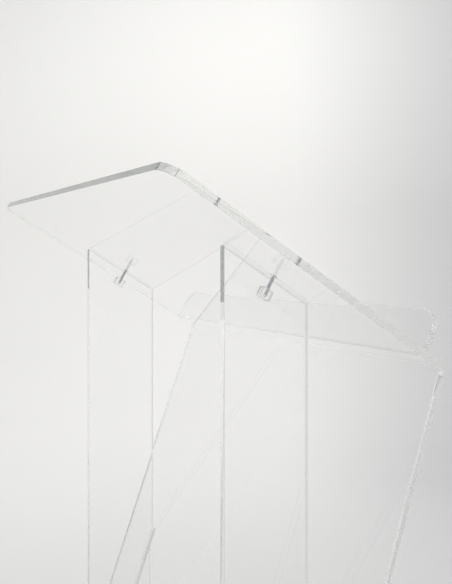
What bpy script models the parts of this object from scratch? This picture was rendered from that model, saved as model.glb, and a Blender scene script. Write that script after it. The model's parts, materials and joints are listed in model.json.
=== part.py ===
"""Clear acrylic magazine rack of the lectern type, in metres, +Z up.

One acrylic sheet, bent twice with heat, makes the sloping desk, the full-width leg that leans back
under it, and the base plate that runs forward along the floor. Two upright strips stand on the base,
pass through slots in the leg and carry the desk. A clear block on the side of each upright, a little
below the desk, takes a countersunk screw that pulls the desk down onto the strip, and another at the
strip's foot takes one through the base. A lip across the low end of the desk stops the magazines, and
the base rests on four clear bumpers.

Frame: x runs across the rack, the reader stands on the -y side, z = 0 is the floor, and the origin
is under the middle of the whole rack.
"""
import math

import bmesh
import bpy
from mathutils import Matrix, Vector

# ---- driving dimensions -------------------------------------------------------------------------
WIDTH = 0.550            # across the desk, the leg and the base
SHEET = 0.008            # thickness of every flat piece
HEIGHT = 1.050           # floor to the top edge of the desk's high end
DESK_LENGTH = 0.368      # along the desk's top face, high end to where it would meet the leg's front face
DESK_TILT = math.radians(31.1)
LEG_TILT = math.radians(69.7)      # from the floor
BEND_RADIUS = 0.012      # of a bend, at the middle of the sheet
BEND_STEPS = 12
CORNER_RADIUS = 0.020    # high corners of the desk, front corners of the base
CORNER_STEPS = 10
GAP = 0.0003             # between pieces that touch

UPRIGHT_INSET = 0.0765   # side edge of the desk to the near face of an upright
UPRIGHT_WIDTH = 0.100    # front to back
UPRIGHT_BACK = 0.1005    # level distance from the desk's high end forward to an upright's back edge

LIP_HEIGHT = 0.045       # above the desk's top face
LIP_PLACE = 0.330        # along the desk, high end to the lip's inner face
LIP_CORNER = 0.025

BLOCK_LENGTH = 0.013     # along the desk or the base
BLOCK_HEIGHT = 0.0105
BLOCK_PLACE = 0.180      # along the desk, high end to the axis of a top screw
TOP_BLOCK_DROP = 0.013   # bare screw between the desk and a top block

SCREW_RADIUS = 0.002
TOP_SCREW_LENGTH = 0.028     # both with the countersunk head
BOTTOM_SCREW_LENGTH = 0.016
HEAD_RADIUS = 0.004
SOCKET_RADIUS = 0.00144  # hexagon socket, corner to centre
SOCKET_DEPTH = 0.0015
BORE_EXTRA = 0.001       # the block's hole runs this much past the screw's end
ROUND_STEPS = 24

FOOT_RADIUS = 0.006
FOOT_HEIGHT = 0.003      # the base's underside stands this high
FOOT_INSET = 0.030

# ---- path of the bent sheet, in the plane of y and z --------------------------------------------
DESK_HEADING = math.pi + DESK_TILT
LEG_HEADING = -LEG_TILT
BASE_HEADING = -math.pi
LOW_TURN = LEG_HEADING - (DESK_HEADING - 2 * math.pi)
FOOT_TURN = BASE_HEADING - LEG_HEADING
HALF = SHEET / 2


def heading_vector(angle):
    return Vector((0.0, math.cos(angle), math.sin(angle)))


def face_normal(angle):
    """Normal of the face that is the desk's top, then the leg's front, then the base's top."""
    return Vector((0.0, math.sin(angle), -math.cos(angle)))


def bend_reach(radius, turn):
    """Length that a bend of this radius takes from each straight, up to the sharp corner."""
    return radius * math.tan(abs(turn) / 2)


# Front and back of the rack before it is centred, with y = 0 at the desk's upper high edge: the lip's
# outer top edge, and the desk's lower high edge.
FRONT_Y = -(LIP_PLACE + SHEET) * math.cos(DESK_TILT) - LIP_HEIGHT * math.sin(DESK_TILT)
BACK_Y = SHEET * math.sin(DESK_TILT)
CENTRING = Vector((0.0, -(FRONT_Y + BACK_Y) / 2, 0.0))


def sheet_path():
    """Straights and bends as (length, turn), from the desk's high end to the base's front end."""
    low_corner_z = HEIGHT - DESK_LENGTH * math.sin(DESK_TILT)
    leg_front = (low_corner_z - FOOT_HEIGHT - SHEET) / math.sin(LEG_TILT)
    low_reach = bend_reach(BEND_RADIUS + HALF, LOW_TURN)
    foot_reach = bend_reach(BEND_RADIUS - HALF, FOOT_TURN)
    foot_corner_y = leg_front * math.cos(LEG_TILT) - DESK_LENGTH * math.cos(DESK_TILT)
    return (
        (DESK_LENGTH - low_reach, 0.0),
        (BEND_RADIUS * abs(LOW_TURN), LOW_TURN),
        (leg_front - low_reach - foot_reach, 0.0),
        (BEND_RADIUS * abs(FOOT_TURN), FOOT_TURN),
        (foot_corner_y - foot_reach - FRONT_Y, 0.0),
    )


PATH = sheet_path()
BLANK_LENGTH = sum(length for length, _ in PATH)
LEG_START = PATH[0][0] + PATH[1][0]
BASE_START = LEG_START + PATH[2][0] + PATH[3][0]


def on_sheet(along, off=0.0):
    """Point of the bent sheet, this far along it from the high end and off its middle plane."""
    heading = DESK_HEADING
    point = CENTRING + Vector((0.0, 0.0, HEIGHT)) - face_normal(heading) * HALF
    for length, turn in PATH:
        step = min(along, length)
        if turn:
            turned = heading + turn * step / length
            point += (face_normal(turned) - face_normal(heading)) * math.copysign(BEND_RADIUS, turn)
            heading = turned
        else:
            point += heading_vector(heading) * step
        along -= step
        if along <= 0:
            break
    return point + face_normal(heading) * off


UPRIGHT_REAR_Y = on_sheet(0.0, -HALF).y - UPRIGHT_BACK
UPRIGHT_FRONT_Y = UPRIGHT_REAR_Y - UPRIGHT_WIDTH
UPRIGHT_X = WIDTH / 2 - UPRIGHT_INSET - HALF
SIDES = (("left", -1), ("right", 1))

# ---- helpers -------------------------------------------------------------------------------------


def clear_scene():
    for item in list(bpy.context.scene.objects):
        bpy.data.objects.remove(item, do_unlink=True)


def new_collection(name):
    collection = bpy.data.collections.new(name)
    bpy.context.scene.collection.children.link(collection)
    return collection


def principled(name, colour, roughness, metallic=0.0, transmission=0.0):
    material = bpy.data.materials.new(name)
    material.use_nodes = True
    shader = material.node_tree.nodes["Principled BSDF"]
    shader.inputs["Base Color"].default_value = (*colour, 1.0)
    shader.inputs["Roughness"].default_value = roughness
    shader.inputs["Metallic"].default_value = metallic
    shader.inputs["Transmission Weight"].default_value = transmission
    material.diffuse_color = (*colour, 1.0)
    return material


def rounded_outline(width, height, radii):
    """Points round a rectangle from its lower left corner, counterclockwise, with these corner radii."""
    corners = ((0, 0, math.pi), (width, 0, -math.pi / 2), (width, height, 0.0), (0, height, math.pi / 2))
    points = []
    for (x, y, start), radius in zip(corners, radii):
        if not radius:
            points.append((x, y))
            continue
        centre_x = x + (radius if x == 0 else -radius)
        centre_y = y + (radius if y == 0 else -radius)
        for step in range(CORNER_STEPS + 1):
            angle = start + math.pi / 2 * step / CORNER_STEPS
            points.append((centre_x + radius * math.cos(angle), centre_y + radius * math.sin(angle)))
    return points


def flat_mesh(name, outlines, thickness):
    """Closed mesh of a flat piece: its outlines in x and y, half its thickness on each side of z = 0."""
    curve = bpy.data.curves.new(name, "CURVE")
    curve.dimensions = "2D"
    curve.fill_mode = "BOTH"
    curve.extrude = thickness / 2
    for outline in outlines:
        spline = curve.splines.new("POLY")
        spline.points.add(len(outline) - 1)
        for point, (x, y) in zip(spline.points, outline):
            point.co = (x, y, 0.0, 1.0)
        spline.use_cyclic_u = True
    flat = bpy.data.objects.new(name, curve)
    bpy.context.scene.collection.objects.link(flat)
    bpy.context.view_layer.update()
    depsgraph = bpy.context.evaluated_depsgraph_get()
    mesh = bpy.data.meshes.new_from_object(flat.evaluated_get(depsgraph))
    bpy.data.objects.remove(flat, do_unlink=True)
    bpy.data.curves.remove(curve)
    shape = bmesh.new()
    shape.from_mesh(mesh)
    bmesh.ops.remove_doubles(shape, verts=shape.verts, dist=0.00001)
    bmesh.ops.recalc_face_normals(shape, faces=shape.faces)
    shape.to_mesh(mesh)
    shape.free()
    mesh.name = name
    return mesh


def add_part(name, mesh, material, collection, smooth_angle=35):
    part = bpy.data.objects.new(name, mesh)
    collection.objects.link(part)
    mesh.materials.clear()
    mesh.materials.append(material)
    mesh.shade_smooth()
    mesh.set_sharp_from_angle(angle=math.radians(smooth_angle))
    return part


def turned_mesh(name, profile):
    """Closed mesh turned round z: profile is (radius, z) pairs, from the axis at the top to the axis below."""
    shape = bmesh.new()
    verts = [shape.verts.new((radius, 0.0, z)) for radius, z in profile]
    edges = [shape.edges.new(pair) for pair in zip(verts, verts[1:])]
    bmesh.ops.spin(shape, geom=verts + edges, cent=(0, 0, 0), axis=(0, 0, 1), dvec=(0, 0, 0),
                   angle=2 * math.pi, steps=ROUND_STEPS, use_merge=True)
    bmesh.ops.remove_doubles(shape, verts=shape.verts, dist=0.000001)
    bmesh.ops.recalc_face_normals(shape, faces=shape.faces)
    mesh = bpy.data.meshes.new(name)
    shape.to_mesh(mesh)
    shape.free()
    return mesh


def cut(part, cutter):
    modifier = part.modifiers.new(cutter.name, "BOOLEAN")
    modifier.operation = "DIFFERENCE"
    modifier.solver = "EXACT"
    modifier.object = cutter


def add_cutter(name, mesh, matrix, cutters):
    cutter = bpy.data.objects.new(name, mesh)
    cutters.objects.link(cutter)
    cutter.matrix_world = matrix
    cutter.hide_render = True
    cutter.display_type = "WIRE"
    return cutter


# ---- the pieces ----------------------------------------------------------------------------------


def leg_slot():
    """Ends of a slot in the leg, along the sheet, where an upright crosses it."""
    lean = math.tan(math.pi / 2 - LEG_TILT)
    leg_top = on_sheet(LEG_START)
    across = HALF / lean + GAP / math.sin(math.pi / 2 - LEG_TILT)
    ends = []
    for y, way in ((UPRIGHT_FRONT_Y, -1), (UPRIGHT_REAR_Y, 1)):
        along = LEG_START + (y - leg_top.y) / math.cos(LEG_TILT)
        ends.append(along + way * across)
    return ends


def slot_outline(x, start, end):
    half = HALF + GAP
    return [(x - half, start), (x - half, end), (x + half, end), (x + half, start)]


def make_sheet(material, parts):
    """The flat blank with its rounded corners and two slots, cut at the bend lines and then bent."""
    outline = [(x - WIDTH / 2, y) for x, y in
               rounded_outline(WIDTH, BLANK_LENGTH, (CORNER_RADIUS,) * 4)]
    slots = [slot_outline(side * UPRIGHT_X, *leg_slot()) for _, side in SIDES]
    mesh = flat_mesh("rack_sheet", [outline, *slots], SHEET)
    shape = bmesh.new()
    shape.from_mesh(mesh)
    start = 0.0
    for length, turn in PATH:
        for step in range(BEND_STEPS + 1) if turn else ():
            everything = shape.verts[:] + shape.edges[:] + shape.faces[:]
            bmesh.ops.bisect_plane(shape, geom=everything, dist=0.0000001,
                                   plane_co=(0, start + length * step / BEND_STEPS, 0), plane_no=(0, 1, 0))
        start += length
    for vert in shape.verts:
        x, along, off = vert.co
        vert.co = on_sheet(along, off) + Vector((x, 0, 0))
    bmesh.ops.recalc_face_normals(shape, faces=shape.faces)
    shape.to_mesh(mesh)
    shape.free()
    return add_part("rack_sheet", mesh, material, parts)


def make_lip(material, parts):
    outline = rounded_outline(WIDTH, LIP_HEIGHT - GAP, (0, 0, LIP_CORNER, LIP_CORNER))
    lip = add_part("magazine_lip", flat_mesh("magazine_lip", [outline], SHEET), material, parts)
    corner = on_sheet(LIP_PLACE + HALF, HALF + GAP) - Vector((WIDTH / 2, 0, 0))
    lip.matrix_world = Matrix.Translation(corner) @ Matrix.Rotation(math.pi / 2 + DESK_TILT, 4, "X")
    return lip


def make_upright(side_name, side, material, parts):
    """A strip in the plane of y and z, cut to the desk's slope at its top."""
    under_desk = on_sheet(0.0, -HALF - GAP)
    rear_top = under_desk.z - (under_desk.y - UPRIGHT_REAR_Y) * math.tan(DESK_TILT)
    front_top = under_desk.z - (under_desk.y - UPRIGHT_FRONT_Y) * math.tan(DESK_TILT)
    foot = FOOT_HEIGHT + SHEET + GAP
    outline = [(UPRIGHT_FRONT_Y, foot), (UPRIGHT_REAR_Y, foot), (UPRIGHT_REAR_Y, rear_top),
               (UPRIGHT_FRONT_Y, front_top)]
    name = f"upright_{side_name}"
    upright = add_part(name, flat_mesh(name, [outline], SHEET), material, parts)
    upright.matrix_world = (Matrix.Translation((side * UPRIGHT_X, 0, 0))
                            @ Matrix.Rotation(math.pi / 2, 4, "Z") @ Matrix.Rotation(math.pi / 2, 4, "X"))
    return upright


def screwed_joints():
    """Name, frame, block's distance from the sheet and screw's length, for each screwed joint.

    The frame's origin is where the screw's axis leaves the sheet, its z points out of the sheet there,
    and its x is the rack's x. Every block is on the left side of its upright."""
    joints = []
    for side_name, side in SIDES:
        x = side * UPRIGHT_X - HALF - GAP - HALF
        top = on_sheet(BLOCK_PLACE, HALF) + Vector((x, 0, 0))
        frame = Matrix.Translation(top) @ Matrix.Rotation(DESK_TILT, 4, "X")
        joints.append((f"top_{side_name}", frame, TOP_BLOCK_DROP, TOP_SCREW_LENGTH))
        below = Vector((x, (UPRIGHT_REAR_Y + UPRIGHT_FRONT_Y) / 2, FOOT_HEIGHT))
        frame = Matrix.Translation(below) @ Matrix.Rotation(math.pi, 4, "X")
        joints.append((f"bottom_{side_name}", frame, GAP, BOTTOM_SCREW_LENGTH))
    return joints


def make_block(name, frame, drop, screw_length, material, parts, cutters):
    """A block cut from the same sheet, with a blind hole for the screw's shank."""
    shape = bmesh.new()
    bmesh.ops.create_cube(shape, size=1.0)
    bmesh.ops.scale(shape, vec=(SHEET, BLOCK_LENGTH, BLOCK_HEIGHT), verts=shape.verts)
    mesh = bpy.data.meshes.new(f"fixing_block_{name}")
    shape.to_mesh(mesh)
    shape.free()
    block = add_part(f"fixing_block_{name}", mesh, material, parts)
    block.matrix_world = frame @ Matrix.Translation((0, 0, -SHEET - drop - BLOCK_HEIGHT / 2))
    depth = screw_length + BORE_EXTRA
    radius = SCREW_RADIUS + GAP
    bore = turned_mesh("block_bore", [(0, 0), (radius, 0), (radius, -depth), (0, -depth - radius / 2)])
    cut(block, add_cutter(f"bore_{name}", bore, frame, cutters))
    return block


def make_sheet_hole(name, sheet, frame, cutters):
    """Countersunk hole through the sheet, wide enough to leave the gap round the screw."""
    over = 0.001
    head = HEAD_RADIUS + GAP
    shank = SCREW_RADIUS + GAP
    profile = [(0, over), (head, over), (head, -GAP), (shank, -GAP - (head - shank)),
               (shank, -SHEET - over), (0, -SHEET - over)]
    hole = turned_mesh("screw_hole", profile)
    cut(sheet, add_cutter(f"hole_{name}", hole, frame, cutters))


def make_screw(name, frame, length, material, parts, cutters):
    """Countersunk screw: its head is flush with the sheet's outer face and has a hexagon socket."""
    cone = HEAD_RADIUS - SCREW_RADIUS
    chamfer = SCREW_RADIUS / 4
    profile = [(0, 0), (HEAD_RADIUS, 0), (HEAD_RADIUS, -chamfer / 2), (SCREW_RADIUS, -chamfer / 2 - cone),
               (SCREW_RADIUS, chamfer - length), (SCREW_RADIUS - chamfer, -length), (0, -length)]
    screw = add_part(f"screw_{name}", turned_mesh("screw", profile), material, parts)
    screw.matrix_world = frame
    shape = bmesh.new()
    bmesh.ops.create_cone(shape, cap_ends=True, segments=6, radius1=SOCKET_RADIUS, radius2=SOCKET_RADIUS,
                          depth=2 * SOCKET_DEPTH)
    socket = bpy.data.meshes.new("socket")
    shape.to_mesh(socket)
    shape.free()
    cut(screw, add_cutter(f"socket_{name}", socket, frame, cutters))
    return screw


def make_feet(material, parts):
    """Clear bumpers, domed at the floor, a hair below the base's underside."""
    rounding = 0.001
    arc = [(FOOT_RADIUS - rounding + rounding * math.cos(a), rounding - rounding * math.sin(a))
           for a in (0, math.pi / 6, math.pi / 3, math.pi / 2)]
    profile = [(0, FOOT_HEIGHT - GAP), (FOOT_RADIUS, FOOT_HEIGHT - GAP), *arc, (0, 0)]
    for end_name, y in (("front", on_sheet(BLANK_LENGTH).y + FOOT_INSET),
                        ("back", on_sheet(BASE_START).y - FOOT_INSET)):
        for side_name, side in SIDES:
            name = f"foot_{end_name}_{side_name}"
            foot = add_part(name, turned_mesh(name, profile), material, parts)
            foot.location = (side * (WIDTH / 2 - FOOT_INSET), y, 0)


def main():
    clear_scene()
    parts = new_collection("magazine_rack")
    cutters = new_collection("cutters")
    acrylic = principled("clear_acrylic", (0.93, 0.96, 0.95), 0.03, transmission=1.0)
    steel = principled("stainless_steel", (0.42, 0.43, 0.44), 0.30, metallic=1.0)
    silicone = principled("clear_silicone", (0.86, 0.88, 0.87), 0.35, transmission=0.6)

    sheet = make_sheet(acrylic, parts)
    make_lip(acrylic, parts)
    for side_name, side in SIDES:
        make_upright(side_name, side, acrylic, parts)
    for name, frame, drop, screw_length in screwed_joints():
        make_sheet_hole(name, sheet, frame, cutters)
        make_block(name, frame, drop, screw_length, acrylic, parts, cutters)
        make_screw(name, frame, screw_length, steel, parts, cutters)
    make_feet(silicone, parts)


main()
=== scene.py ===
"""Looks of the clear acrylic magazine rack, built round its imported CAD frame. Metres, +Z up.

Every sheet piece is remade here with smooth bends and polished arrises, because clear acrylic is seen
almost only by its edges. The reader stands on the -y side.
"""
import json
import math

import bmesh
import bpy
from mathutils import Matrix, Vector

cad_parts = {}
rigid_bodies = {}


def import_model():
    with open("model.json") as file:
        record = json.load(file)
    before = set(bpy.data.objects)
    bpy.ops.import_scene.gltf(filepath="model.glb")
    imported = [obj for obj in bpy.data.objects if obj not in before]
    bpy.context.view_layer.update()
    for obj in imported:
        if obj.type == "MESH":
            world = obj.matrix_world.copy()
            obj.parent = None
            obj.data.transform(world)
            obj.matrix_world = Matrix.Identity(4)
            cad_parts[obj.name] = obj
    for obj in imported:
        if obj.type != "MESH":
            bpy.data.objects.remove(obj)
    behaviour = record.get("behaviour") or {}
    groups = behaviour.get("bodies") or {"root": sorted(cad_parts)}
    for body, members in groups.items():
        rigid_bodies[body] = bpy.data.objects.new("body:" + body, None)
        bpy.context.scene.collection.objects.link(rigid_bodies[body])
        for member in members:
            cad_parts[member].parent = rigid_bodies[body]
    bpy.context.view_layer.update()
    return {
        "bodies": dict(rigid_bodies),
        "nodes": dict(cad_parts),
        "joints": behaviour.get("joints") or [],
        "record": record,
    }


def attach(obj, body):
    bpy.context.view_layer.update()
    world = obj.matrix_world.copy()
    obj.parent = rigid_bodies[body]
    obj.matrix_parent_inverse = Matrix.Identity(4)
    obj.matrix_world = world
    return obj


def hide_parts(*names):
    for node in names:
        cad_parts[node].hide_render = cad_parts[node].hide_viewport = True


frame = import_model()

# ---- sizes, as in the CAD ------------------------------------------------------------------------
WIDTH = 0.550
SHEET = 0.008
HEIGHT = 1.050
DESK_LENGTH = 0.368
DESK_TILT = math.radians(31.1)
LEG_TILT = math.radians(69.7)
BEND_RADIUS = 0.012
CORNER_RADIUS = 0.020
GAP = 0.0003
UPRIGHT_INSET = 0.0765
UPRIGHT_WIDTH = 0.100
UPRIGHT_BACK = 0.1005
LIP_HEIGHT = 0.045
LIP_PLACE = 0.330
LIP_CORNER = 0.025
BLOCK_LENGTH = 0.013
BLOCK_HEIGHT = 0.0105
BLOCK_PLACE = 0.180
TOP_BLOCK_DROP = 0.013
SCREW_RADIUS = 0.002
TOP_SCREW_LENGTH = 0.028
BOTTOM_SCREW_LENGTH = 0.016
HEAD_RADIUS = 0.004
SOCKET_RADIUS = 0.00144
SOCKET_DEPTH = 0.0015
BORE_EXTRA = 0.001
FOOT_RADIUS = 0.006
FOOT_HEIGHT = 0.003
FOOT_INSET = 0.030

# ---- fineness of the visible shapes --------------------------------------------------------------
ARRIS = 0.0004           # rounding of the polished edges
BLOCK_ARRIS = 0.0003
ARRIS_STEPS = 2
BEND_STEPS = 48
CORNER_STEPS = 24
ROUND_STEPS = 48
THREAD_PITCH = 0.0007
THREAD_DEPTH = 0.00038
THREAD_STEPS = 8         # rings per turn of the thread
SCREW_STEPS = 24         # points round a ring
HEAD_RIM = 0.0002        # upright rim of the countersunk head
HEAD_CHAMFER = 0.0001
PLAIN_SHANK = 0.0010     # under the head, before the thread
TIP_CHAMFER = 0.0004
TIP_INSET = 0.0006

DESK_HEADING = math.pi + DESK_TILT
LEG_HEADING = -LEG_TILT
BASE_HEADING = -math.pi
LOW_TURN = LEG_HEADING - (DESK_HEADING - 2 * math.pi)
FOOT_TURN = BASE_HEADING - LEG_HEADING
HALF = SHEET / 2


def heading_vector(angle):
    return Vector((0.0, math.cos(angle), math.sin(angle)))


def face_normal(angle):
    """Normal of the face that is the desk's top, then the leg's front, then the base's top."""
    return Vector((0.0, math.sin(angle), -math.cos(angle)))


def bend_reach(radius, turn):
    return radius * math.tan(abs(turn) / 2)


FRONT_Y = -(LIP_PLACE + SHEET) * math.cos(DESK_TILT) - LIP_HEIGHT * math.sin(DESK_TILT)
BACK_Y = SHEET * math.sin(DESK_TILT)
CENTRING = Vector((0.0, -(FRONT_Y + BACK_Y) / 2, 0.0))


def sheet_path():
    """Straights and bends as (length, turn), from the desk's high end to the base's front end."""
    low_corner_z = HEIGHT - DESK_LENGTH * math.sin(DESK_TILT)
    leg_front = (low_corner_z - FOOT_HEIGHT - SHEET) / math.sin(LEG_TILT)
    low_reach = bend_reach(BEND_RADIUS + HALF, LOW_TURN)
    foot_reach = bend_reach(BEND_RADIUS - HALF, FOOT_TURN)
    foot_corner_y = leg_front * math.cos(LEG_TILT) - DESK_LENGTH * math.cos(DESK_TILT)
    return (
        (DESK_LENGTH - low_reach, 0.0),
        (BEND_RADIUS * abs(LOW_TURN), LOW_TURN),
        (leg_front - low_reach - foot_reach, 0.0),
        (BEND_RADIUS * abs(FOOT_TURN), FOOT_TURN),
        (foot_corner_y - foot_reach - FRONT_Y, 0.0),
    )


PATH = sheet_path()
BLANK_LENGTH = sum(length for length, _ in PATH)
LEG_START = PATH[0][0] + PATH[1][0]
BASE_START = LEG_START + PATH[2][0] + PATH[3][0]


def on_sheet(along, off=0.0):
    """Point of the bent sheet, this far along it from the high end and off its middle plane."""
    heading = DESK_HEADING
    point = CENTRING + Vector((0.0, 0.0, HEIGHT)) - face_normal(heading) * HALF
    for length, turn in PATH:
        step = min(along, length)
        if turn:
            turned = heading + turn * step / length
            point += (face_normal(turned) - face_normal(heading)) * math.copysign(BEND_RADIUS, turn)
            heading = turned
        else:
            point += heading_vector(heading) * step
        along -= step
        if along <= 0:
            break
    return point + face_normal(heading) * off


UPRIGHT_REAR_Y = on_sheet(0.0, -HALF).y - UPRIGHT_BACK
UPRIGHT_FRONT_Y = UPRIGHT_REAR_Y - UPRIGHT_WIDTH
UPRIGHT_X = WIDTH / 2 - UPRIGHT_INSET - HALF
SIDES = (("left", -1), ("right", 1))


# ---- materials -----------------------------------------------------------------------------------


class Nodes:
    """A new node material and short ways to add to it."""

    def __init__(self, name):
        self.material = bpy.data.materials.new(name)
        self.material.use_nodes = True
        self.tree = self.material.node_tree
        self.shader = self.tree.nodes["Principled BSDF"]
        self.output = self.tree.nodes["Material Output"]

    def add(self, kind, **settings):
        node = self.tree.nodes.new(kind)
        for key, value in settings.items():
            setattr(node, key, value)
        return node

    def link(self, source, target):
        self.tree.links.new(source, target)

    def position(self, scale=(1.0, 1.0, 1.0)):
        """Place on the piece, in metres, times a scale for each axis."""
        place = self.add("ShaderNodeTexCoord")
        mapping = self.add("ShaderNodeMapping")
        mapping.inputs["Scale"].default_value = scale
        self.link(place.outputs["Object"], mapping.inputs["Vector"])
        return mapping.outputs["Vector"]

    def noise(self, vector, scale, detail=3.0, roughness=0.5):
        noise = self.add("ShaderNodeTexNoise")
        noise.inputs["Scale"].default_value = scale
        noise.inputs["Detail"].default_value = detail
        noise.inputs["Roughness"].default_value = roughness
        self.link(vector, noise.inputs["Vector"])
        return noise.outputs["Fac"]

    def spread(self, value, from_low, from_high, to_low, to_high):
        mapped = self.add("ShaderNodeMapRange")
        for name, number in (("From Min", from_low), ("From Max", from_high),
                             ("To Min", to_low), ("To Max", to_high)):
            mapped.inputs[name].default_value = number
        self.link(value, mapped.inputs["Value"])
        return mapped.outputs["Result"]

    def blend_colour(self, factor, first, second):
        mix = self.add("ShaderNodeMix", data_type="RGBA")
        self.link(factor, mix.inputs[0])
        mix.inputs[6].default_value = (*first, 1.0)
        mix.inputs[7].default_value = (*second, 1.0)
        return mix.outputs[2]

    def bump(self, height, distance, strength=1.0):
        bump = self.add("ShaderNodeBump")
        bump.inputs["Distance"].default_value = distance
        bump.inputs["Strength"].default_value = strength
        self.link(height, bump.inputs["Height"])
        self.link(bump.outputs["Normal"], self.shader.inputs["Normal"])

    def set(self, **values):
        for name, value in values.items():
            self.shader.inputs[name.replace("_", " ")].default_value = value


ABSORPTION_COLOUR = (0.76, 0.79, 0.76, 1.0)
ABSORPTION_DENSITY = 0.45


def clear_acrylic():
    """Cast sheet with faint wiping marks.

    A piece has this one material all over: light that enters a body by one material with an absorption
    and leaves by another goes on being absorbed in the air."""
    made = Nodes("clear_acrylic")
    made.set(Transmission_Weight=1.0, IOR=1.49)
    marks = made.noise(made.position((3.0, 1.0, 1.0)), 7.0, 4.0, 0.6)
    made.link(made.spread(marks, 0.56, 0.78, 0.0, 0.006), made.shader.inputs["Roughness"])
    made.link(made.blend_colour(marks, (1.0, 1.0, 1.0), (0.992, 0.993, 0.992)),
              made.shader.inputs["Base Color"])
    absorption = made.add("ShaderNodeVolumeAbsorption")
    absorption.inputs["Color"].default_value = ABSORPTION_COLOUR
    absorption.inputs["Density"].default_value = ABSORPTION_DENSITY
    made.link(absorption.outputs["Volume"], made.output.inputs["Volume"])
    return made.material


def stainless_steel():
    made = Nodes("stainless_steel")
    made.set(Metallic=1.0)
    turning = made.noise(made.position((1.0, 1.0, 6.0)), 900.0, 4.0, 0.6)
    made.link(made.blend_colour(turning, (0.66, 0.68, 0.71), (0.80, 0.82, 0.84)),
              made.shader.inputs["Base Color"])
    made.link(made.spread(turning, 0.3, 0.7, 0.14, 0.30), made.shader.inputs["Roughness"])
    made.bump(turning, 0.00001)
    return made.material


def clear_silicone():
    made = Nodes("clear_silicone")
    made.set(Transmission_Weight=0.75, IOR=1.41)
    cloud = made.noise(made.position(), 420.0, 3.0, 0.6)
    made.link(made.blend_colour(cloud, (0.80, 0.82, 0.80), (0.93, 0.94, 0.93)),
              made.shader.inputs["Base Color"])
    made.link(made.spread(cloud, 0.3, 0.7, 0.28, 0.45), made.shader.inputs["Roughness"])
    made.bump(cloud, 0.00002)
    return made.material


# ---- mesh helpers --------------------------------------------------------------------------------


def rounded_outline(width, height, radii):
    """Points round a rectangle from its lower left corner, counterclockwise, with these corner radii."""
    corners = ((0, 0, math.pi), (width, 0, -math.pi / 2), (width, height, 0.0), (0, height, math.pi / 2))
    points = []
    for (x, y, start), radius in zip(corners, radii):
        if not radius:
            points.append((x, y))
            continue
        centre_x = x + (radius if x == 0 else -radius)
        centre_y = y + (radius if y == 0 else -radius)
        for step in range(CORNER_STEPS + 1):
            angle = start + math.pi / 2 * step / CORNER_STEPS
            points.append((centre_x + radius * math.cos(angle), centre_y + radius * math.sin(angle)))
    return points


def evaluated_mesh(item):
    """The object's mesh with its modifiers applied."""
    bpy.context.view_layer.update()
    depsgraph = bpy.context.evaluated_depsgraph_get()
    return bpy.data.meshes.new_from_object(item.evaluated_get(depsgraph), depsgraph=depsgraph)


def slab(name, outlines, thickness=SHEET, arris=ARRIS):
    """Closed flat piece with rounded arrises, half its thickness on each side of z = 0."""
    curve = bpy.data.curves.new(name, "CURVE")
    curve.dimensions = "2D"
    curve.fill_mode = "BOTH"
    curve.extrude = thickness / 2 - arris
    curve.bevel_depth = arris
    curve.bevel_resolution = ARRIS_STEPS
    curve.offset = -arris
    for outline in outlines:
        spline = curve.splines.new("POLY")
        spline.points.add(len(outline) - 1)
        for point, (x, y) in zip(spline.points, outline):
            point.co = (x, y, 0.0, 1.0)
        spline.use_cyclic_u = True
    flat = bpy.data.objects.new(name, curve)
    bpy.context.scene.collection.objects.link(flat)
    mesh = evaluated_mesh(flat)
    bpy.data.objects.remove(flat, do_unlink=True)
    bpy.data.curves.remove(curve)
    shape = bmesh.new()
    shape.from_mesh(mesh)
    bmesh.ops.remove_doubles(shape, verts=shape.verts, dist=0.000005)
    bmesh.ops.recalc_face_normals(shape, faces=shape.faces)
    shape.to_mesh(mesh)
    shape.free()
    mesh.name = name
    return mesh


def turned_mesh(name, profile, steps=ROUND_STEPS):
    """Closed mesh turned round z: profile is (radius, z) pairs, from the axis at the top to the axis below."""
    shape = bmesh.new()
    verts = [shape.verts.new((radius, 0.0, z)) for radius, z in profile]
    edges = [shape.edges.new(pair) for pair in zip(verts, verts[1:])]
    bmesh.ops.spin(shape, geom=verts + edges, cent=(0, 0, 0), axis=(0, 0, 1), dvec=(0, 0, 0),
                   angle=2 * math.pi, steps=steps, use_merge=True)
    bmesh.ops.remove_doubles(shape, verts=shape.verts, dist=0.000001)
    bmesh.ops.recalc_face_normals(shape, faces=shape.faces)
    mesh = bpy.data.meshes.new(name)
    shape.to_mesh(mesh)
    shape.free()
    return mesh


def finish_piece(name, mesh, material, node, matrix=None, smooth_angle=30):
    """Adds the piece in place of its CAD node, with its place in its vertices as the CAD nodes have."""
    if matrix is not None:
        mesh.transform(matrix)
    mesh.materials.clear()
    mesh.materials.append(material)
    mesh.shade_smooth()
    mesh.set_sharp_from_angle(angle=math.radians(smooth_angle))
    piece = bpy.data.objects.new(name, mesh)
    bpy.context.scene.collection.objects.link(piece)
    weighting = piece.modifiers.new("flat_faces_stay_flat", "WEIGHTED_NORMAL")
    weighting.keep_sharp = True
    weighting.weight = 100
    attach(piece, "root")
    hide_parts(node)
    return piece


def cut_mesh(mesh, cutters):
    """The mesh less each (mesh, matrix) cutter."""
    body = bpy.data.objects.new("body", mesh)
    bpy.context.scene.collection.objects.link(body)
    made = []
    for cutter_mesh, matrix in cutters:
        cutter = bpy.data.objects.new("cutter", cutter_mesh)
        bpy.context.scene.collection.objects.link(cutter)
        cutter.matrix_world = matrix
        modifier = body.modifiers.new("cut", "BOOLEAN")
        modifier.operation = "DIFFERENCE"
        modifier.solver = "EXACT"
        modifier.object = cutter
        made.append(cutter)
    result = evaluated_mesh(body)
    for item in (body, *made):
        bpy.data.objects.remove(item, do_unlink=True)
    return result


# ---- the pieces ----------------------------------------------------------------------------------


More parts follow.
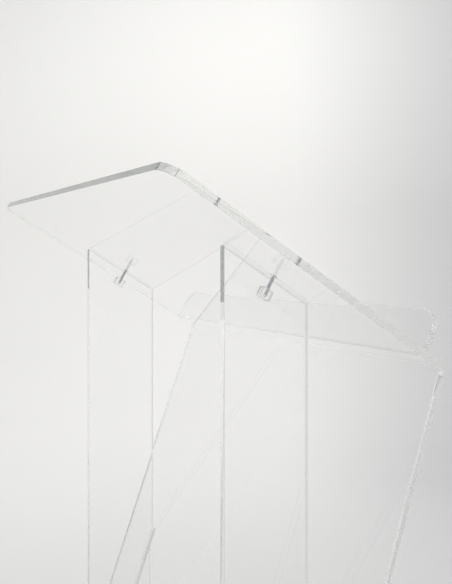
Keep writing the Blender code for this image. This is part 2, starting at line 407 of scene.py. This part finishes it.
def leg_slot():
    """Ends of a slot in the leg, along the sheet, where an upright crosses it."""
    lean = math.tan(math.pi / 2 - LEG_TILT)
    leg_top = on_sheet(LEG_START)
    across = HALF / lean + GAP / math.sin(math.pi / 2 - LEG_TILT)
    ends = []
    for y, way in ((UPRIGHT_FRONT_Y, -1), (UPRIGHT_REAR_Y, 1)):
        along = LEG_START + (y - leg_top.y) / math.cos(LEG_TILT)
        ends.append(along + way * across)
    return ends


def slot_outline(x, start, end):
    half = HALF + GAP
    return [(x - half, start), (x - half, end), (x + half, end), (x + half, start)]


def screwed_joints():
    """Name, frame, block's distance from the sheet and screw's length, for each screwed joint.

    The frame's origin is where the screw's axis leaves the sheet, and its z points out of the sheet there."""
    joints = []
    for side_name, side in SIDES:
        x = side * UPRIGHT_X - HALF - GAP - HALF
        top = on_sheet(BLOCK_PLACE, HALF) + Vector((x, 0, 0))
        frame = Matrix.Translation(top) @ Matrix.Rotation(DESK_TILT, 4, "X")
        joints.append((f"top_{side_name}", frame, TOP_BLOCK_DROP, TOP_SCREW_LENGTH))
        below = Vector((x, (UPRIGHT_REAR_Y + UPRIGHT_FRONT_Y) / 2, FOOT_HEIGHT))
        frame = Matrix.Translation(below) @ Matrix.Rotation(math.pi, 4, "X")
        joints.append((f"bottom_{side_name}", frame, GAP, BOTTOM_SCREW_LENGTH))
    return joints


def screw_hole():
    """Countersunk hole through the sheet, wide enough to leave the gap round the screw."""
    over = 0.001
    head = HEAD_RADIUS + GAP
    shank = SCREW_RADIUS + GAP
    return turned_mesh("screw_hole", [(0, over), (head, over), (head, -GAP), (shank, -GAP - (head - shank)),
                                      (shank, -SHEET - over), (0, -SHEET - over)])


def make_sheet(material):
    """The flat blank with its rounded corners and two slots, cut at the bend lines and then bent."""
    outline = [(x - WIDTH / 2, y) for x, y in
               rounded_outline(WIDTH, BLANK_LENGTH, (CORNER_RADIUS,) * 4)]
    slots = [slot_outline(side * UPRIGHT_X, *leg_slot()) for _, side in SIDES]
    mesh = slab("sheet", [outline, *slots])
    shape = bmesh.new()
    shape.from_mesh(mesh)
    start = 0.0
    for length, turn in PATH:
        for step in range(BEND_STEPS + 1) if turn else ():
            everything = shape.verts[:] + shape.edges[:] + shape.faces[:]
            bmesh.ops.bisect_plane(shape, geom=everything, dist=0.0000001,
                                   plane_co=(0, start + length * step / BEND_STEPS, 0), plane_no=(0, 1, 0))
        start += length
    for vert in shape.verts:
        x, along, off = vert.co
        vert.co = on_sheet(along, off) + Vector((x, 0, 0))
    bmesh.ops.recalc_face_normals(shape, faces=shape.faces)
    shape.to_mesh(mesh)
    shape.free()
    hole = screw_hole()
    mesh = cut_mesh(mesh, [(hole, joint) for _, joint, _, _ in screwed_joints()])
    return finish_piece("bent_sheet", mesh, material, "rack_sheet")


def make_lip(material):
    outline = rounded_outline(WIDTH, LIP_HEIGHT - GAP, (0, 0, LIP_CORNER, LIP_CORNER))
    corner = on_sheet(LIP_PLACE + HALF, HALF + GAP) - Vector((WIDTH / 2, 0, 0))
    matrix = Matrix.Translation(corner) @ Matrix.Rotation(math.pi / 2 + DESK_TILT, 4, "X")
    finish_piece("lip_panel", slab("lip", [outline]), material, "magazine_lip", matrix)


def make_upright(side_name, side, material):
    """A strip in the plane of y and z, cut to the desk's slope at its top."""
    under_desk = on_sheet(0.0, -HALF - GAP)
    rear_top = under_desk.z - (under_desk.y - UPRIGHT_REAR_Y) * math.tan(DESK_TILT)
    front_top = under_desk.z - (under_desk.y - UPRIGHT_FRONT_Y) * math.tan(DESK_TILT)
    foot = FOOT_HEIGHT + SHEET + GAP
    outline = [(UPRIGHT_FRONT_Y, foot), (UPRIGHT_REAR_Y, foot), (UPRIGHT_REAR_Y, rear_top),
               (UPRIGHT_FRONT_Y, front_top)]
    matrix = (Matrix.Translation((side * UPRIGHT_X, 0, 0))
              @ Matrix.Rotation(math.pi / 2, 4, "Z") @ Matrix.Rotation(math.pi / 2, 4, "X"))
    finish_piece(f"upright_strip_{side_name}", slab("upright", [outline]), material,
                 f"upright_{side_name}", matrix)


def make_block(name, joint, drop, screw_length, material):
    """A block cut from the same sheet, with a blind hole for the screw's shank."""
    outline = [(-BLOCK_LENGTH / 2, -BLOCK_HEIGHT / 2), (BLOCK_LENGTH / 2, -BLOCK_HEIGHT / 2),
               (BLOCK_LENGTH / 2, BLOCK_HEIGHT / 2), (-BLOCK_LENGTH / 2, BLOCK_HEIGHT / 2)]
    mesh = slab("block", [outline], SHEET, BLOCK_ARRIS)
    mesh.transform(Matrix.Translation((0, 0, -SHEET - drop - BLOCK_HEIGHT / 2))
                   @ Matrix.Rotation(math.pi / 2, 4, "Z") @ Matrix.Rotation(math.pi / 2, 4, "X"))
    depth = screw_length + BORE_EXTRA
    radius = SCREW_RADIUS + GAP
    bore = turned_mesh("bore", [(0, 0), (radius, 0), (radius, -depth), (0, -depth - radius / 2)])
    mesh = cut_mesh(mesh, [(bore, Matrix.Identity(4))])
    finish_piece(f"block_{name}", mesh, material, f"fixing_block_{name}", joint)


def thread_radius(z, angle, thread_top):
    """Radius of the shank, with the thread's groove running out near the head."""
    turn = (z / THREAD_PITCH + angle / (2 * math.pi)) % 1.0
    groove = 1.0 - abs(2.0 * turn - 1.0)
    fade = min(1.0, max(0.0, (thread_top - z) / THREAD_PITCH))
    return SCREW_RADIUS - THREAD_DEPTH * groove * fade


def make_screw(name, joint, length, material):
    """Countersunk screw with a rolled thread. Its head is flush with the sheet and has a hexagon socket."""
    cone = HEAD_RADIUS - SCREW_RADIUS
    shank_top = -HEAD_RIM - cone
    thread_top = shank_top - PLAIN_SHANK
    tip = TIP_CHAMFER - length
    shape = bmesh.new()
    rings = [(HEAD_RADIUS - HEAD_CHAMFER, 0.0, False), (HEAD_RADIUS, -HEAD_CHAMFER, False),
             (HEAD_RADIUS, -HEAD_RIM, False), (SCREW_RADIUS, shank_top, False)]
    count = int((shank_top - tip) / THREAD_PITCH * THREAD_STEPS)
    rings += [(0.0, shank_top + (tip - shank_top) * (step + 1) / count, True) for step in range(count)]
    rings.append((SCREW_RADIUS - TIP_INSET, -length, False))
    loops = []
    for radius, z, threaded in rings:
        loop = []
        for step in range(SCREW_STEPS):
            angle = 2 * math.pi * step / SCREW_STEPS
            r = thread_radius(z, angle, thread_top) if threaded else radius
            loop.append(shape.verts.new((r * math.cos(angle), r * math.sin(angle), z)))
        loops.append(loop)
    for upper, lower in zip(loops, loops[1:]):
        for step in range(SCREW_STEPS):
            after = (step + 1) % SCREW_STEPS
            shape.faces.new((upper[step], lower[step], lower[after], upper[after]))
    shape.faces.new(loops[0])
    shape.faces.new(list(reversed(loops[-1])))
    bmesh.ops.recalc_face_normals(shape, faces=shape.faces)
    mesh = bpy.data.meshes.new("screw")
    shape.to_mesh(mesh)
    shape.free()
    shape = bmesh.new()
    bmesh.ops.create_cone(shape, cap_ends=True, segments=6, radius1=SOCKET_RADIUS, radius2=SOCKET_RADIUS,
                          depth=2 * SOCKET_DEPTH)
    socket = bpy.data.meshes.new("socket")
    shape.to_mesh(socket)
    shape.free()
    mesh = cut_mesh(mesh, [(socket, Matrix.Identity(4))])
    finish_piece(f"machine_screw_{name}", mesh, material, f"screw_{name}", joint, 40)


def make_feet(material):
    """Clear bumpers, domed at the floor."""
    rounding = 0.0012
    shoulder = 0.0003
    arc = [(FOOT_RADIUS - rounding + rounding * math.cos(a), rounding - rounding * math.sin(a))
           for a in (math.pi / 2 * step / 8 for step in range(9))]
    top = FOOT_HEIGHT - GAP
    profile = [(0, top), (FOOT_RADIUS - shoulder, top), (FOOT_RADIUS, top - shoulder), *arc, (0, 0)]
    for end_name, y in (("front", on_sheet(BLANK_LENGTH).y + FOOT_INSET),
                        ("back", on_sheet(BASE_START).y - FOOT_INSET)):
        for side_name, side in SIDES:
            matrix = Matrix.Translation((side * (WIDTH / 2 - FOOT_INSET), y, 0))
            finish_piece(f"bumper_{end_name}_{side_name}", turned_mesh("bumper", profile), material,
                         f"foot_{end_name}_{side_name}", matrix)


acrylic = clear_acrylic()
steel = stainless_steel()
make_sheet(acrylic)
make_lip(acrylic)
for side_name, side in SIDES:
    make_upright(side_name, side, acrylic)
for joint_name, joint, drop, screw_length in screwed_joints():
    make_block(joint_name, joint, drop, screw_length, acrylic)
    make_screw(joint_name, joint, screw_length, steel)
make_feet(clear_silicone())

# ---- studio --------------------------------------------------------------------------------------
FLOOR_RADIUS = 2.9       # of the flat floor
WALL_RADIUS = 4.2
WALL_TOP = 4.2
PAINTED_SHADE_SIDE = math.radians(-75)      # direction in which shade is painted darkest on the backdrop
PAINTED_SHADE_CORE = math.radians(5)        # the painted shade is full this far to each side
PAINTED_SHADE_REACH = math.radians(40)      # and is gone from here on
# colour of the painted shade on the backdrop
PAINTED_SHADE_COLOUR = (0.555, 0.555, 0.565, 1.0)
FLOOR_PAINT = (0.735, 0.73, 0.72, 1.0)


def paint_cove():
    """White paint, greyer on the floor, with painted shade on one side beyond the rack, darker there in place
    of light falling off.
    """
    paint = Nodes("cove_paint_and_painted_shade")
    mottle = paint.noise(paint.position(), 1.5, 2.0, 0.5)
    wall_paint = paint.blend_colour(mottle, (0.80, 0.794, 0.781), (0.82, 0.814, 0.801))
    place = paint.add("ShaderNodeTexCoord").outputs["Object"]
    level = paint.add("ShaderNodeVectorMath", operation="MULTIPLY")
    level.inputs[1].default_value = (1.0, 1.0, 0.0)
    paint.link(place, level.inputs[0])
    length = paint.add("ShaderNodeVectorMath", operation="LENGTH")
    paint.link(level.outputs[0], length.inputs[0])
    heading = paint.add("ShaderNodeVectorMath", operation="NORMALIZE")
    paint.link(level.outputs[0], heading.inputs[0])
    towards = paint.add("ShaderNodeVectorMath", operation="DOT_PRODUCT")
    towards.inputs[1].default_value = (math.cos(PAINTED_SHADE_SIDE), math.sin(PAINTED_SHADE_SIDE), 0.0)
    paint.link(heading.outputs[0], towards.inputs[0])
    # mask of the painted shade by direction: full towards the shaded side, none beyond its reach
    side = paint.spread(towards.outputs["Value"], math.cos(PAINTED_SHADE_REACH), math.cos(PAINTED_SHADE_CORE), 0.0, 1.0)
    side.node.interpolation_type = "SMOOTHSTEP"
    out = paint.spread(length.outputs["Value"], 0.9, 2.4, 0.0, 1.0)
    floor_mix = paint.add("ShaderNodeMix", data_type="RGBA")
    paint.link(paint.spread(length.outputs["Value"], 1.4, 3.1, 0.0, 1.0), floor_mix.inputs[0])
    floor_mix.inputs[6].default_value = FLOOR_PAINT
    paint.link(wall_paint, floor_mix.inputs[7])
    painted_shade_mask = paint.add("ShaderNodeMath", operation="MULTIPLY")
    paint.link(side, painted_shade_mask.inputs[0])
    paint.link(out, painted_shade_mask.inputs[1])
    # painted shade: the paint turns darker on that side, away from the rack, to stand in for light falling off
    painted_shade_mix = paint.add("ShaderNodeMix", data_type="RGBA")
    paint.link(painted_shade_mask.outputs[0], painted_shade_mix.inputs[0])
    paint.link(floor_mix.outputs[2], painted_shade_mix.inputs[6])
    painted_shade_mix.inputs[7].default_value = PAINTED_SHADE_COLOUR
    paint.link(painted_shade_mix.outputs[2], paint.shader.inputs["Base Color"])
    paint.set(Roughness=0.9, Specular_IOR_Level=0.1)
    return paint.material


def make_studio():
    """A round white cove: a floor that curves up into a wall on every side."""
    bend = WALL_RADIUS - FLOOR_RADIUS
    profile = [(0.0, 0.0), (FLOOR_RADIUS * 0.5, 0.0)]
    profile += [(FLOOR_RADIUS + bend * math.sin(a), bend - bend * math.cos(a))
                for a in (math.pi / 2 * step / 24 for step in range(25))]
    profile.append((WALL_RADIUS, WALL_TOP))
    shape = bmesh.new()
    verts = [shape.verts.new((radius, 0.0, z)) for radius, z in profile]
    edges = [shape.edges.new(pair) for pair in zip(verts, verts[1:])]
    bmesh.ops.spin(shape, geom=verts + edges, cent=(0, 0, 0), axis=(0, 0, 1), dvec=(0, 0, 0),
                   angle=2 * math.pi, steps=96, use_merge=True)
    bmesh.ops.remove_doubles(shape, verts=shape.verts, dist=0.0001)
    bmesh.ops.recalc_face_normals(shape, faces=shape.faces)
    bmesh.ops.reverse_faces(shape, faces=shape.faces)
    mesh = bpy.data.meshes.new("cove")
    shape.to_mesh(mesh)
    shape.free()
    mesh.shade_smooth()
    mesh.materials.append(paint_cove())
    cove = bpy.data.objects.new("studio_cove", mesh)
    bpy.context.scene.collection.objects.link(cove)


def add_light(name, place, target, size, power, colour=(1.0, 1.0, 1.0), spread=math.pi):
    light = bpy.data.lights.new(name, "AREA")
    light.shape = "RECTANGLE"
    light.size, light.size_y = size
    light.energy = power
    light.color = colour
    light.spread = spread
    lamp = bpy.data.objects.new(name, light)
    bpy.context.scene.collection.objects.link(lamp)
    lamp.location = place
    lamp.rotation_euler = (Vector(target) - Vector(place)).to_track_quat("-Z", "Y").to_euler()
    lamp.visible_camera = False


make_studio()
add_light("overhead_softbox", (0.2, 0.2, 3.9), (0.0, 0.0, 0.0), (3.0, 3.0), 45.0)
add_light("wall_wash", (1.6, -1.15, 2.9), (3.55, -2.15, 0.8), (1.4, 1.4), 37.5, (1.0, 0.995, 0.98))
add_light("left_wash", (-1.9, -1.0, 3.1), (-3.5, -1.9, 0.4), (1.4, 1.4), 12.0, spread=math.radians(90))
add_light("right_wash", (1.7, 1.3, 3.1), (3.0, 2.9, 0.6), (1.4, 1.4), 11.0)

world = bpy.data.worlds.new("studio_air")
world.use_nodes = True
background = world.node_tree.nodes["Background"]
background.inputs["Color"].default_value = (0.95, 0.97, 1.0, 1.0)
background.inputs["Strength"].default_value = 0.54
bpy.context.scene.world = world

# ---- camera and image ----------------------------------------------------------------------------
camera_data = bpy.data.cameras.new("camera")
camera_data.lens = 44.45
camera_data.sensor_width = 36.0
camera_data.shift_y = -0.0596
camera = bpy.data.objects.new("camera", camera_data)
bpy.context.scene.collection.objects.link(camera)
camera.location = (-0.8035, 0.4050, 0.9708)
camera.rotation_euler = (math.pi / 2, 0.0, math.radians(-119.98))
bpy.context.scene.camera = camera

# Light crosses the sheets to their edges by hundreds of total reflections, so fewer bounces turn them black.
BOUNCES = 1000
scene = bpy.context.scene
scene.view_settings.view_transform = "Standard"
scene.cycles.max_bounces = BOUNCES
scene.cycles.glossy_bounces = BOUNCES
scene.cycles.transmission_bounces = BOUNCES
